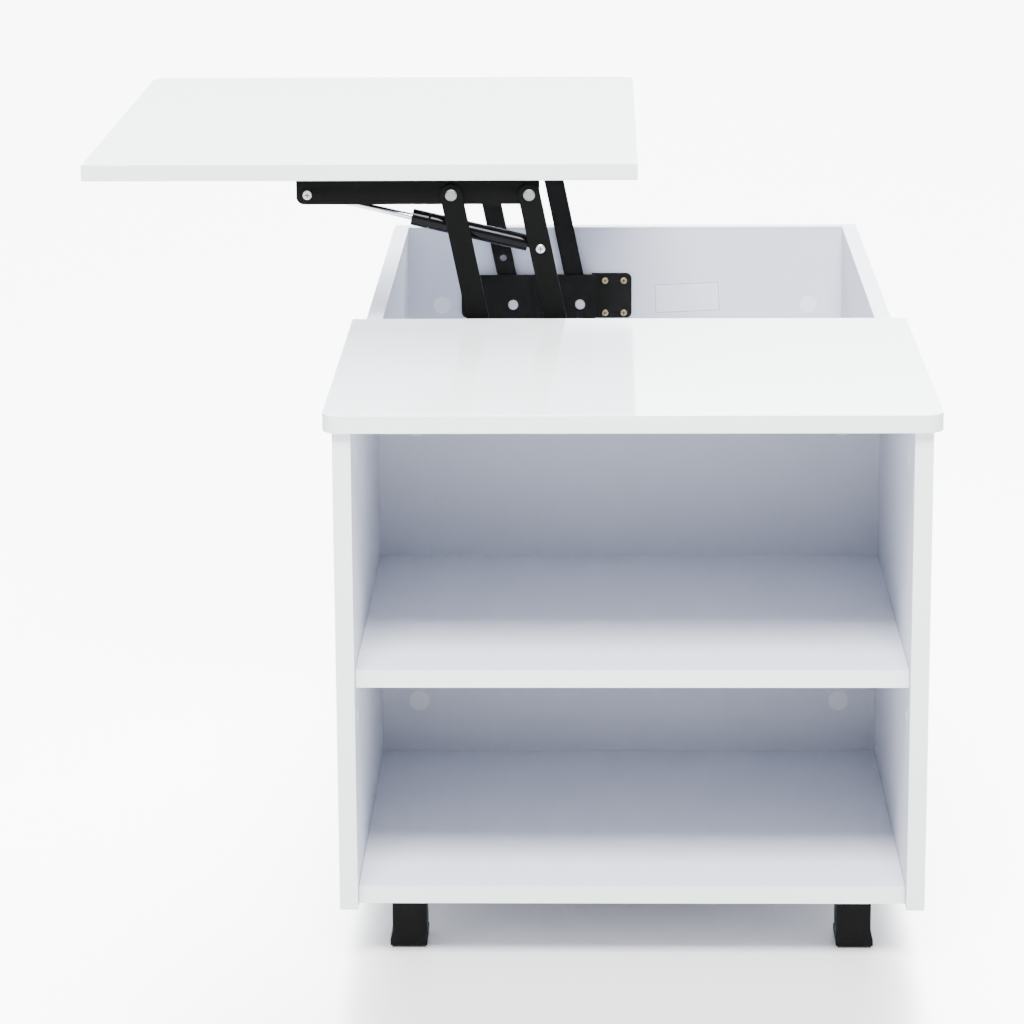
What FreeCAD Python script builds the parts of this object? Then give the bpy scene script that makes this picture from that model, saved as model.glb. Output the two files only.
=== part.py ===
import FreeCAD, Part
import Sketcher
import math
import os
import re

# Lift top coffee table, millimetres, +Z up.  The origin is on the floor, at the centre of the
# whole object's box with the lift top raised.  The near end, with the open shelf bays, faces -Y.
# The lift top rises towards -X, where the user sits.

DRIVING = [
    ("table_length", 1000, "near end to far end of the tops"),
    ("table_width", 500, "width of the tops"),
    ("table_height", 470, "floor to the fixed top's surface"),
    ("board", 15, "thickness of every board"),
    ("cabinet_width", 484, "outside of one side panel to the outside of the other"),
    ("end_overhang", 6, "tops beyond the cabinet at both ends"),
    ("fixed_depth", 405, "fixed top, near edge to back edge"),
    ("top_gap", 2, "gap between the fixed top and the lift top"),
    ("corner_radius", 15, "plan radius of the tops' outer corners"),
    ("edging", 1, "thickness of the tops' edging"),
    ("edge_round", 0.8, "rounding of the tops' edging"),
    ("edge_strip", 0.8, "thickness of the cabinet's edging strips"),
    ("leg_height", 50, "floor to the underside of the bottom panel"),
    ("side_drop", 1, "side panels reach this far below the bottom panel"),
    ("shelf_height", 252, "floor to the shelf's upper face"),
    ("shelf_setback", 14, "shelf and bottom panel behind the side panels' near edges"),
    ("partition_place", 395, "near end of the tops to the partition's near face"),
    ("side_gap", 0.3, "gap between the shelves' ends and the side panels"),
    ("lid_gap", 0.3, "lowered lift top above the cabinet's upper edge"),
    ("leg_width", 29, "leg column along X"),
    ("leg_depth", 33, "leg column along Y"),
    ("leg_inset", 41, "outside of a side panel to the leg column"),
    ("leg_end_inset", 49, "end of the tops to the leg column"),
    ("foot_width", 31, "flared foot along X"),
    ("foot_depth", 43, "flared foot along Y"),
    ("foot_height", 5, "thickness of the foot's lip"),
    ("flare_height", 7, "height of the flare above the lip"),
    ("pad_height", 2, "glide under each foot"),
    ("arm_length", 210.3, "pivot to pivot of every arm"),
    ("arm_width", 20, "width of the flat bar"),
    ("arm_plate", 2.5, "thickness of the arms"),
    ("arm_edge", 0.4, "bevel round the arms' outline"),
    ("pivot_spacing", 70.2, "front pivot to rear pivot"),
    ("rear_pivot", 47.4, "rear lower pivot from the cabinet's centre line, towards -X"),
    ("raised_angle", 101.63, "arms from +X with the lift top raised, degrees"),
    ("closed_angle", 18.26, "arms from +X with the lift top down, degrees"),
    ("plate", 2.5, "thickness of the steel brackets"),
    ("rear_level", 8.7, "raised leaf of the base bracket and the top bracket's flange, off the wall"),
    ("front_level", 10.2, "front half of the base bracket's leaf, off the wall"),
    ("arm_gap", 0.3, "arm to the bracket that it is riveted to"),
    ("pivot_drop", 14.6, "lift top's underside to the upper pivots"),
    ("flange_height", 23.3, "height of the top bracket's flange"),
    ("flange_reach", 33, "top bracket's screwed flange, off the wall"),
    ("flange_screw", 6, "screws from the screwed flange's free edge"),
    ("bracket_length", 219.2, "length of the top bracket"),
    ("bracket_corner", 7, "rounded lower corner of the top bracket"),
    ("pivot_inset", 9.3, "rear upper pivot from the top bracket's end"),
    ("rod_inset", 10, "rod bolt from the top bracket's other end"),
    ("base_left", 172, "left end of the base bracket from the centre line, towards -X"),
    ("base_right", 6.9, "right end of the base bracket from the centre line, towards +X"),
    ("base_above", 31.5, "base bracket above its pivots"),
    ("base_below", 16, "base bracket below its pivots"),
    ("left_tab", 12, "width of the base bracket's left tab"),
    ("bend_run", 5, "length of the bend beside the left tab"),
    ("leaf_step", 98, "step in the raised leaf from the centre line, towards -X"),
    ("step_run", 4, "length of that step"),
    ("leaf_end", 31, "right end of the raised leaf from the centre line, towards -X"),
    ("right_tab", 35, "left end of the right tab from the centre line, towards -X"),
    ("back_strip", 8, "height of the strip along the wall behind the raised leaf"),
    ("tab_radius", 6, "corner radius of the base bracket's tabs"),
    ("upper_screw", 23.7, "upper screws of the right tab above the pivots"),
    ("lower_screw", 10.6, "lower screws of the right tab below the pivots"),
    ("inner_screw", 21.1, "screws of the right tab from the centre line, towards -X"),
    ("outer_screw", 1.4, "second pair of screws from the centre line, towards -X"),
    ("left_screw", 5.7, "screw of the left tab from the bracket's left end"),
    ("left_screw_rise", 7, "screw of the left tab above the pivots"),
    ("screw_radius", 2, "shank of every screw"),
    ("screw_head", 3.6, "head radius of every screw"),
    ("screw_rise", 2, "head height of every screw"),
    ("screw_length", 13, "length of every short screw"),
    ("leg_screw_grip", 11, "leg screws in the bottom panel"),
    ("recess_width", 1.1, "width of the bars of a screw's cross recess"),
    ("recess_depth", 0.9, "depth of a screw's cross recess"),
    ("recess_clear", 2, "reach of the recess tool, out past the head"),
    ("rivet_radius", 3.6, "rivet shank, and the arms' third hole"),
    ("rivet_head", 5.25, "rivet head radius"),
    ("rivet_rise", 1.8, "rivet head height"),
    ("running", 0.05, "radial running clearance of the pivots"),
    ("spring_offset", 50, "gas spring's bolt from the rear arm's upper pivot"),
    ("spring_plane", 21, "gas spring's axis off the wall"),
    ("tube_radius", 7.5, "gas spring tube"),
    ("tube_bore", 6.3, "bore radius of the tube"),
    ("tube_start", 12, "spring bolt to the closed end of the tube"),
    ("tube_bevel", 0.6, "bevel at the tube's ends"),
    ("tube_finish", 119.6, "spring bolt to the open end of the tube"),
    ("groove_inset", 16, "rolled groove from the tube's open end"),
    ("groove_half", 1, "half the width of the rolled groove"),
    ("groove_depth", 0.5, "depth of the rolled groove"),
    ("guide_length", 11, "inner end of the rod guide from the tube's open end"),
    ("guide_inset", 0.8, "rod guide behind the tube's open end"),
    ("plug_length", 5, "plug let into the tube's closed end"),
    ("piston_stop", 1, "piston from the rod guide with the spring at its longest"),
    ("piston_length", 8, "length of the piston"),
    ("socket_depth", 5, "rod let into its end piece"),
    ("neck_radius", 3.8, "necks of the gas spring's end pieces"),
    ("neck_length", 14, "end of the rod's end piece from its bolt"),
    ("neck_start", 5, "necks start at this distance from their bolts"),
    ("rod_radius", 3, "gas spring rod"),
    ("eye_radius", 7, "eyes at the gas spring's ends"),
    ("eye_width", 8, "thickness of the eyes"),
    ("bolt_radius", 3, "bolts through the gas spring's eyes"),
    ("pan_head", 4.2, "pan head radius of the gas spring bolts"),
    ("pan_rise", 2.2, "pan head height of the gas spring bolts"),
    ("nut_reach", 4.6, "spring bolt beyond the eye, through its nut"),
    ("nut_across", 5.7, "circumscribed radius of the gas spring's nuts"),
    ("nut_height", 3.6, "height of the gas spring's nuts"),
    ("bolt_tip", 0.8, "bolt ends beyond their nuts"),
    ("sleeve_radius", 6, "sleeves on the gas spring bolts"),
    ("cam_radius", 7.5, "bore of a cam lock"),
    ("cam_depth", 12, "depth of a cam lock's bore"),
    ("cam_setback", 34, "cam lock centre from the joint"),
    ("cover_radius", 9, "stick-on cover over a cam lock"),
    ("cover_height", 0.4, "thickness of a cover"),
    ("pin_radius", 3, "cam bolt"),
    ("pin_depth", 10, "cam bolt and dowel in the mating board"),
    ("pin_room", 1, "room round a cam bolt's head in the cam lock"),
    ("knob_rim", 0.8, "cam bolt's head wider than its shank"),
    ("knob_height", 2, "cam bolt's head"),
    ("dowel_radius", 4, "wooden dowel"),
    ("dowel_length", 30, "length of a dowel"),
    ("low_joint", 113, "height of the lower cam locks in the upright boards"),
    ("high_joint", 372, "height of the upper cam locks in the upright boards"),
    ("dowel_step", 64, "cam lock to its dowel"),
    ("shelf_cam_a", 60, "first cam lock of the shelf from the near end"),
    ("shelf_cam_b", 335, "second cam lock of the shelf from the near end"),
    ("top_cam_a", 70, "first cam lock of the fixed top from the near end"),
    ("shelf_dowel_a", 140, "first dowel of the shelf and the fixed top from the near end"),
    ("shelf_dowel_b", 265, "second dowel of the shelf and the fixed top from the near end"),
    ("floor_cam_a", 130, "first cam lock of the bottom panel from the near end"),
    ("floor_cam_b", 500, "second cam lock of the bottom panel from the near end"),
    ("floor_cam_c", 870, "third cam lock of the bottom panel from the near end"),
    ("floor_dowel_a", 300, "first dowel of the bottom panel from the near end"),
    ("floor_dowel_b", 700, "second dowel of the bottom panel from the near end"),
    ("fit_gap", 0.1, "radial clearance of cam locks, cam bolts and dowels"),
    ("end_play", 0.5, "bores deeper than the cam bolts, dowels and screws in them"),
    ("plug_place", 42, "hole plugs from the near end of the tops"),
    ("plug_height", 207, "height of the hole plugs"),
    ("plug_radius", 2.5, "peg of a hole plug"),
    ("plug_head", 3.4, "head radius of a hole plug"),
    ("plug_rise", 0.7, "head height of a hole plug"),
    ("well_radius", 4.6, "screw well in a leg"),
    ("well_roof", 6, "plastic between a leg's screw well and its top"),
    ("leg_round", 1.5, "rounding of the leg column's corners"),
    ("pad_inset", 1.5, "glide inside the foot's outline"),
    ("label_width", 70, "blank label"),
    ("label_height", 33, "blank label"),
    ("label_sheet", 0.2, "thickness of the label"),
    ("label_place", 31, "label's left edge from the centre line"),
    ("label_low", 362, "label's lower edge"),
    ("label_tilt", 2.5, "label's tilt, degrees"),
]

document = FreeCAD.newDocument("LiftTopTable")
sizes = document.addObject("Spreadsheet::Sheet", "Sizes")
value = {}


def fill_sheet(rows):
    """Writes name, number and meaning to the next rows of the sheet."""
    for alias, number, meaning in rows:
        row = len(value) + 1
        sizes.set("A%d" % row, meaning)
        sizes.set("B%d" % row, str(number))
        sizes.setAlias("B%d" % row, alias)
        value[alias] = float(number)
    document.recompute()


def linkage_rows():
    """Positions that follow from the four-bar lift linkage, as plain numbers."""
    raised = math.radians(value["raised_angle"])
    closed = math.radians(value["closed_angle"])
    arm = value["arm_length"]
    shift = arm * (math.cos(closed) - math.cos(raised))
    rise = arm * (math.sin(raised) - math.sin(closed))
    underside = value["table_height"] - value["board"] + value["lid_gap"] + rise
    pivot_height = underside - value["pivot_drop"] - arm * math.sin(raised)
    spring_x = -value["spring_offset"] * math.cos(raised)
    spring_z = -value["spring_offset"] * math.sin(raised)
    rod_x = value["pivot_inset"] + value["rod_inset"] - value["bracket_length"]
    return [
        ("lift_shift", shift, "travel of the lift top towards -X"),
        ("center", shift / 2, "X of the cabinet's centre line"),
        ("lift_underside", underside, "floor to the raised lift top's underside"),
        ("pivot_height", pivot_height, "floor to the lower pivots"),
        ("lean", arm * math.cos(raised), "upper pivot from its lower pivot along X"),
        ("upper_height", underside - value["pivot_drop"], "floor to the upper pivots"),
        ("spring_x", spring_x, "spring bolt from the rear upper pivot along X"),
        ("spring_z", spring_z, "spring bolt from the rear upper pivot along Z"),
        ("rod_x", rod_x, "rod bolt from the rear upper pivot along X"),
        ("spring_length", math.hypot(rod_x - spring_x, spring_z), "gas spring, eye to eye"),
    ]


fill_sheet(DRIVING)
fill_sheet(linkage_rows())

# ------------------------------------------------------------------ helpers

DIRECTIONS = {
    "+x": (1, 0, 0),
    "-x": (-1, 0, 0),
    "+y": (0, 1, 0),
    "-y": (0, -1, 0),
    "+z": (0, 0, 1),
    "-z": (0, 0, -1),
}
nodes = []


def linked(text):
    """Turns alias words in an expression into references to the sheet."""
    def reference(match):
        word = match.group(0)
        return "Sizes." + word if word in value else word
    return re.sub(r"[a-z_]+", reference, str(text))


def bind(item, **properties):
    """Binds properties of an object to expressions over the sheet."""
    for name, text in properties.items():
        item.setExpression(name, linked(text))


def place(item, point, rotation=None):
    """Puts an object at a point given as three expressions."""
    item.Placement = FreeCAD.Placement(FreeCAD.Vector(), rotation or FreeCAD.Rotation())
    for axis, text in zip("xyz", point):
        item.setExpression(".Placement.Base." + axis, linked(text))
    return item


def moved(point, direction, distance):
    """The point, moved along one of the six directions."""
    result = []
    for text, step in zip(point, DIRECTIONS[direction]):
        if step:
            text = "(%s) %s (%s)" % (text, "+" if step > 0 else "-", distance)
        result.append(text)
    return tuple(result)


def box(corner, length, width, height):
    item = document.addObject("Part::Box", "Block")
    bind(item, Length=length, Width=width, Height=height)
    return place(item, corner)


def cylinder(radius, length, start, direction):
    item = document.addObject("Part::Cylinder", "Round")
    bind(item, Radius=radius, Height=length)
    turn = FreeCAD.Rotation(FreeCAD.Vector(0, 0, 1), FreeCAD.Vector(*DIRECTIONS[direction]))
    return place(item, start, turn)


def cone(radius, tip_radius, length, start, direction):
    item = document.addObject("Part::Cone", "Taper")
    bind(item, Radius1=radius, Radius2=tip_radius, Height=length)
    turn = FreeCAD.Rotation(FreeCAD.Vector(0, 0, 1), FreeCAD.Vector(*DIRECTIONS[direction]))
    return place(item, start, turn)


def fused(items):
    if len(items) == 1:
        return items[0]
    item = document.addObject("Part::MultiFuse", "Union")
    item.Shapes = items
    return item


def cut(base, tools):
    item = document.addObject("Part::Cut", "Difference")
    item.Base = base
    item.Tool = fused(tools)
    return item


def rounded(base, radius, chosen):
    """Rounds every edge of the base that the test picks."""
    document.recompute()
    numbers = [n for n, edge in enumerate(base.Shape.Edges, 1) if chosen(edge)]
    item = document.addObject("Part::Fillet", "Rounded")
    item.Base = base
    item.Edges = [(n, value[radius], value[radius]) for n in numbers]
    return item


def node(label, item):
    """Names a finished sub-part."""
    item.Label = label
    nodes.append(item)
    return item


def group(label, items):
    """One node that holds several separate solids."""
    item = document.addObject("Part::Compound", "Group")
    item.Links = items
    return node(label, item)


def new_body(name):
    return document.addObject("PartDesign::Body", name)


def new_sketch(body, plane):
    sketch = body.newObject("Sketcher::SketchObject", "Profile")
    origin = [item for item in body.Origin.OriginFeatures if item.Role == plane][0]
    sketch.AttachmentSupport = (origin, [""])
    sketch.MapMode = "FlatFace"
    return sketch


def fix_point(sketch, geometry, position, point):
    """Ties a sketch point to two expressions measured from the sketch's origin."""
    for kind, axis, text in (("DistanceX", -2, point[0]), ("DistanceY", -1, point[1])):
        if text == "0":
            sketch.addConstraint(Sketcher.Constraint("PointOnObject", geometry, position, axis))
            continue
        amount = float(sizes.evalExpression(linked(text)))
        rule = Sketcher.Constraint(kind, -1, 1, geometry, position, amount)
        number = sketch.addConstraint(rule)
        sketch.setExpression("Constraints[%d]" % number, linked(text))


def polygon(body, plane, points):
    """A closed sketch whose corners are pairs of expressions."""
    sketch = new_sketch(body, plane)
    corners = []
    for pair in points:
        place_now = [float(sizes.evalExpression(linked(text))) for text in pair]
        corners.append(FreeCAD.Vector(place_now[0], place_now[1], 0))
    count = len(corners)
    for n in range(count):
        sketch.addGeometry(Part.LineSegment(corners[n], corners[(n + 1) % count]))
    for n in range(count):
        sketch.addConstraint(Sketcher.Constraint("Coincident", n, 2, (n + 1) % count, 1))
    for n in range(count):
        fix_point(sketch, n, 1, points[n])
    return sketch


def pad(body, sketch, length):
    feature = body.newObject("PartDesign::Pad", "Pad")
    feature.Profile = sketch
    bind(feature, Length=length)
    sketch.Visibility = False
    document.recompute()
    return feature


def body_fillet(body, feature, radius, chosen):
    names = ["Edge%d" % n for n, edge in enumerate(feature.Shape.Edges, 1) if chosen(edge)]
    item = body.newObject("PartDesign::Fillet", "Fillet")
    item.Base = (feature, names)
    bind(item, Radius=radius)
    document.recompute()
    return item


def runs_along(edge, axis):
    """True for a straight edge parallel to the axis, numbered 0, 1 or 2."""
    ends = [vertex.Point for vertex in edge.Vertexes]
    if len(ends) != 2 or edge.Curve.TypeId != "Part::GeomLine":
        return False
    span = ends[1] - ends[0]
    return abs(abs(span[axis]) - span.Length) < 1e-6


# ------------------------------------------------------------------ reference places

NEAR = "-table_length / 2"
FAR = "table_length / 2"
NEAR_EDGE = NEAR + " + end_overhang"
FAR_EDGE = FAR + " - end_overhang"
CABINET_TOP = "table_height - board"
PARTITION = NEAR + " + partition_place"
PARTITION_BACK = PARTITION + " + board"
END_WALL = FAR_EDGE + " - board"
SHELF_FRONT = NEAR_EDGE + " + shelf_setback"
SIDE_SIGN = {"left": "-", "right": "+"}
OUTWARD = {"left": "-x", "right": "+x"}
WALL_FACE = {"near": PARTITION_BACK, "far": END_WALL}
INWARD = {"near": "+y", "far": "-y"}
MIRROR = {"near": "", "far": "-1 * "}
REAR_PIVOT = "center - rear_pivot"
BRACKET_LEFT = "center - rear_pivot + lean + pivot_inset - bracket_length"
FRONT_PIVOT = "center - rear_pivot - pivot_spacing"


def inner_face(side):
    return "center %s (cabinet_width / 2 - board)" % SIDE_SIGN[side]


def opposite(direction):
    return {"+": "-", "-": "+"}[direction[0]] + direction[1]


def off_wall(wall, distance):
    """Y at a distance from the near or far wall, into the storage compartment."""
    return "%s %s (%s)" % (WALL_FACE[wall], INWARD[wall][0], distance)


# ------------------------------------------------------------------ joint hardware

cam_locks = []
cam_bolts = []
cam_covers = []
dowels = []
bores = {}


def bore(board, radius, length, start, direction):
    bores.setdefault(board, []).append(cylinder(radius, length, start, direction))


def cam_joint(board, mate, mouth, into, toward):
    """A cam lock let into a board's face, and the bolt that ties the board to its mate."""
    middle = moved(mouth, into, "board / 2")
    joint = moved(middle, toward, "cam_setback")
    bore(board, "cam_radius", "cam_depth", mouth, into)
    bore(board, "pin_radius + fit_gap", "cam_setback", middle, toward)
    bore(mate, "pin_radius + fit_gap", "pin_depth + end_play", joint, toward)
    floor = moved(mouth, into, "end_play")
    lock = cylinder("cam_radius - fit_gap", "cam_depth - end_play * 2", floor, into)
    drive = cylinder("pin_radius / 2", "pin_radius / 2", floor, into)
    slot = cylinder("pin_radius + end_play", "cam_radius + pin_room", middle, toward)
    heart_start = moved(middle, opposite(into), "pin_radius + pin_room")
    heart = cylinder("pin_radius + pin_room", "(pin_radius + pin_room) * 2", heart_start, into)
    cam_locks.append(cut(lock, [drive, slot, heart]))
    shank = cylinder("pin_radius", "cam_setback + pin_depth", middle, toward)
    knob_start = moved(middle, opposite(into), "knob_height / 2")
    knob = cylinder("pin_radius + knob_rim", "knob_height", knob_start, into)
    cam_bolts.append(fused([shank, knob]))
    cam_covers.append(cylinder("cover_radius", "cover_height", mouth, opposite(into)))


def dowel_joint(board, mate, start, toward):
    """A wooden dowel across a joint; start is on the joint's plane."""
    out = opposite(toward)
    bore(board, "dowel_radius + fit_gap", "dowel_length - pin_depth + end_play", start, out)
    bore(mate, "dowel_radius + fit_gap", "pin_depth + end_play", start, toward)
    back = moved(start, out, "dowel_length - pin_depth")
    dowels.append(cylinder("dowel_radius", "dowel_length", back, toward))


def upright_joints(board, face):
    """Cam locks and dowels of an upright cross board; face is the face with the cam locks."""
    for side, outward in OUTWARD.items():
        mate = side + "_side_panel"
        for height, step in (("low_joint", "+ dowel_step"), ("high_joint", "- dowel_step")):
            mouth = moved((inner_face(side), face, height), opposite(outward), "cam_setback")
            cam_joint(board, mate, mouth, "+y", outward)
            start = (inner_face(side), face + " + board / 2", "%s %s" % (height, step))
            dowel_joint(board, mate, start, outward)


def level_joints(board, underside, cam_places, dowel_places):
    """Cam locks and dowels of a level board, with the cam locks in its underside."""
    for side, outward in OUTWARD.items():
        mate = side + "_side_panel"
        for distance in cam_places:
            along = "%s + %s" % (NEAR, distance)
            mouth = moved((inner_face(side), along, underside), opposite(outward), "cam_setback")
            cam_joint(board, mate, mouth, "+z", outward)
        for distance in dowel_places:
            start = (inner_face(side), "%s + %s" % (NEAR, distance), underside + " + board / 2")
            dowel_joint(board, mate, start, outward)


def fixed_top_joints():
    """The fixed top is tied down by cam locks in the side panels' inner faces."""
    for side, outward in OUTWARD.items():
        host = side + "_side_panel"
        for distance in ("top_cam_a", "shelf_cam_b"):
            mouth = (inner_face(side), "%s + %s" % (NEAR, distance), CABINET_TOP + " - cam_setback")
            cam_joint(host, "fixed_top", mouth, outward, "+z")
        for distance in ("shelf_dowel_a", "shelf_dowel_b"):
            start = (inner_face(side), "%s + %s" % (NEAR, distance), CABINET_TOP)
            dowel_joint(host, "fixed_top", moved(start, outward, "board / 2"), "+z")


upright_joints("partition_panel", PARTITION)
upright_joints("end_panel", END_WALL)
shelf_cams = ("shelf_cam_a", "shelf_cam_b")
level_joints("middle_shelf", "shelf_height - board", shelf_cams, ("shelf_dowel_a", "shelf_dowel_b"))
floor_cams = ("floor_cam_a", "floor_cam_b", "floor_cam_c")
level_joints("bottom_panel", "leg_height", floor_cams, ("floor_dowel_a", "floor_dowel_b"))
fixed_top_joints()

# ------------------------------------------------------------------ screws

base_screws = []
leg_screws = []
top_screws = []


def screw(head_radius, head_height, shank_radius, length, seat, into):
    """A cross-recessed pan head screw; seat is where its head rests."""
    out = opposite(into)
    rim = cylinder(head_radius, "(%s) * 0.6" % head_height, seat, out)
    dome_start = moved(seat, out, "(%s) * 0.6" % head_height)
    dome = cone(head_radius, "(%s) * 0.75" % head_radius, "(%s) * 0.4" % head_height, dome_start, out)
    shank = cylinder(shank_radius, "(%s) + plate / 10" % length, moved(seat, out, "plate / 10"), into)
    crown = moved(seat, out, "(%s) - recess_depth" % head_height)
    return cut(fused([rim, dome, shank]), cross(crown, head_radius, out))


SCREW_BORE = "screw_length - plate + end_play"


def short_screw(seat, into):
    return screw("screw_head", "screw_rise", "screw_radius", "screw_length", seat, into)


def cross(crown, head_radius, out):
    """Two crossed bars for a screw's recess."""
    bars = []
    axis = "xyz".index(out[1])
    for across in range(3):
        if across == axis:
            continue
        span = ["recess_width"] * 3
        span[across] = "(%s) * 1.1" % head_radius
        span[axis] = "recess_clear"
        corner = []
        for n in range(3):
            if n == axis:
                back = " - recess_clear" if out[0] == "-" else ""
                corner.append("(%s)%s" % (crown[n], back))
            else:
                corner.append("(%s) - (%s) / 2" % (crown[n], span[n]))
        bars.append(box(tuple(corner), *span))
    return bars


# ------------------------------------------------------------------ brackets of the lift mechanism

rivets_low = []
rivets_high = []
pivot_spacers = []
rod_bolts = []


BASE_SCREWS = (
    ("-base_left + left_screw", "left_screw_rise"),
    ("-inner_screw", "upper_screw"),
    ("-inner_screw", "-lower_screw"),
    ("-outer_screw", "upper_screw"),
    ("-outer_screw", "-lower_screw"),
)


def base_bracket(wall):
    """Folded bracket: a leaf raised off the wall in front of the arms, joined under them to a
    strip and a screwed tab on the wall; the leaf's left end bends back to a second tab."""
    body = new_body(wall + "_base_plate")
    mirror = MIRROR[wall]
    bend_start = "-base_left + left_tab"
    bend_end = bend_start + " + bend_run"
    wall_side = [
        ("-base_left", "0", "0"),
        (bend_start, "0", "-plate / 2"),
        (bend_end, "front_level", "-plate / 2"),
        ("-leaf_step", "front_level", "plate / 3"),
        ("-leaf_step + step_run", "rear_level", "plate / 3"),
        ("-leaf_end", "rear_level", "0"),
    ]
    outline = []
    for along, level, shift in wall_side:
        outline.append((along, "0" if level == "0" else mirror + level))
    for along, level, shift in reversed(wall_side):
        outline.append(("%s + (%s)" % (along, shift), "%s(%s + plate)" % (mirror, level)))
    height = "base_above + base_below"
    pad(body, polygon(body, "XY_Plane", outline), height)
    web = [
        (bend_end, "0"),
        ("-leaf_end", "0"),
        ("-leaf_end", mirror + "(rear_level + plate / 2)"),
        ("-leaf_step + step_run", mirror + "(rear_level + plate / 2)"),
        ("-leaf_step", mirror + "(front_level + plate / 2)"),
        (bend_end, mirror + "(front_level + plate / 2)"),
    ]
    pad(body, polygon(body, "XY_Plane", web), "plate")
    face = mirror + "plate"
    strip = [(bend_end, "0"), ("-right_tab", "0"), ("-right_tab", face), (bend_end, face)]
    pad(body, polygon(body, "XY_Plane", strip), "back_strip")
    tab = [("-right_tab", "0"), ("base_right", "0"), ("base_right", face), ("-right_tab", face)]
    last = pad(body, polygon(body, "XY_Plane", tab), height)
    ends = (-value["base_left"], value["base_right"])

    def tab_corner(edge):
        return runs_along(edge, 1) and min(abs(edge.Vertexes[0].X - end) for end in ends) < 0.01

    body_fillet(body, last, "tab_radius", tab_corner)
    place(body, ("center", WALL_FACE[wall], "pivot_height - base_below"))
    holes = []
    for pivot in (FRONT_PIVOT, REAR_PIVOT):
        start = (pivot, off_wall(wall, "plate * 2"), "pivot_height")
        holes.append(cylinder("rivet_radius", "front_level", start, INWARD[wall]))
    for along, rise in BASE_SCREWS:
        start = ("center + (%s)" % along, WALL_FACE[wall], "pivot_height + (%s)" % rise)
        holes.append(cylinder("screw_radius", "plate", start, INWARD[wall]))
    return node(wall + "_base_bracket", cut(body, holes))


def base_hardware(wall):
    """Screws, lower rivets and the front rivet's spacer of one base bracket."""
    inward = INWARD[wall]
    outward = opposite(inward)
    board = {"near": "partition_panel", "far": "end_panel"}[wall]
    for along, rise in BASE_SCREWS:
        seat = ("center + (%s)" % along, off_wall(wall, "plate"), "pivot_height + (%s)" % rise)
        bore(board, "screw_radius", SCREW_BORE, (seat[0], WALL_FACE[wall], seat[2]), outward)
        base_screws.append(short_screw(seat, outward))
    tail = "rear_level - arm_gap * 2 - arm_plate - rivet_rise"
    for pivot, level in ((FRONT_PIVOT, "front_level"), (REAR_PIVOT, "rear_level")):
        start = (pivot, off_wall(wall, tail), "pivot_height")
        shank = cylinder("rivet_radius", "%s + plate + rivet_rise / 2 - (%s)" % (level, tail), start, inward)
        back = cylinder("rivet_head", "rivet_rise", start, inward)
        top_start = (pivot, off_wall(wall, level + " + plate"), "pivot_height")
        rivets_low.append(fused([shank, back] + rivet_crown(top_start, inward)))
    ring_start = (FRONT_PIVOT, off_wall(wall, "rear_level"), "pivot_height")
    ring = cylinder("rivet_head + 1", "front_level - rear_level", ring_start, inward)
    hole = cylinder("rivet_radius", "front_level - rear_level", ring_start, inward)
    pivot_spacers.append(cut(ring, [hole]))


def rivet_crown(start, direction):
    """A low domed rivet head that stands on the start point."""
    rim = cylinder("rivet_head", "rivet_rise / 2", start, direction)
    crown_start = moved(start, direction, "rivet_rise / 2")
    return [rim, cone("rivet_head", "rivet_head * 0.8", "rivet_rise / 2", crown_start, direction)]


def top_bracket(wall):
    """Angle iron under the lift top; the arms and the gas spring's rod hang on its flange."""
    body = new_body(wall + "_angle")
    mirror = MIRROR[wall]
    outline = [
        (mirror + "rear_level", "0"),
        (mirror + "rear_level", "-flange_height"),
        (mirror + "(rear_level + plate)", "-flange_height"),
        (mirror + "(rear_level + plate)", "-plate"),
        (mirror + "flange_reach", "-plate"),
        (mirror + "flange_reach", "0"),
    ]
    feature = pad(body, polygon(body, "YZ_Plane", outline), "bracket_length")
    low = -value["flange_height"]

    def lower_corner(edge):
        start = edge.Vertexes[0]
        return runs_along(edge, 1) and abs(start.X) < 0.01 and abs(start.Z - low) < 0.01

    body_fillet(body, feature, "bracket_corner", lower_corner)
    place(body, (BRACKET_LEFT, WALL_FACE[wall], "lift_underside"))
    holes = []
    for pivot in (FRONT_PIVOT, REAR_PIVOT):
        start = ("%s + lean" % pivot, WALL_FACE[wall], "upper_height")
        holes.append(cylinder("rivet_radius", "flange_reach", start, INWARD[wall]))
    start = ("%s + lean + rod_x" % REAR_PIVOT, WALL_FACE[wall], "upper_height")
    holes.append(cylinder("bolt_radius", "flange_reach", start, INWARD[wall]))
    for place_x, place_y in flange_screws(wall):
        start = (place_x, place_y, "lift_underside - plate")
        holes.append(cylinder("screw_radius", "plate", start, "+z"))
    return node(wall + "_top_bracket", cut(body, holes))


def flange_screws(wall):
    """Three screws along the top bracket's level flange."""
    at_y = off_wall(wall, "flange_reach - flange_screw")
    shares = ("0.12", "0.5", "0.88")
    return [("%s + bracket_length * %s" % (BRACKET_LEFT, share), at_y) for share in shares]


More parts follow.
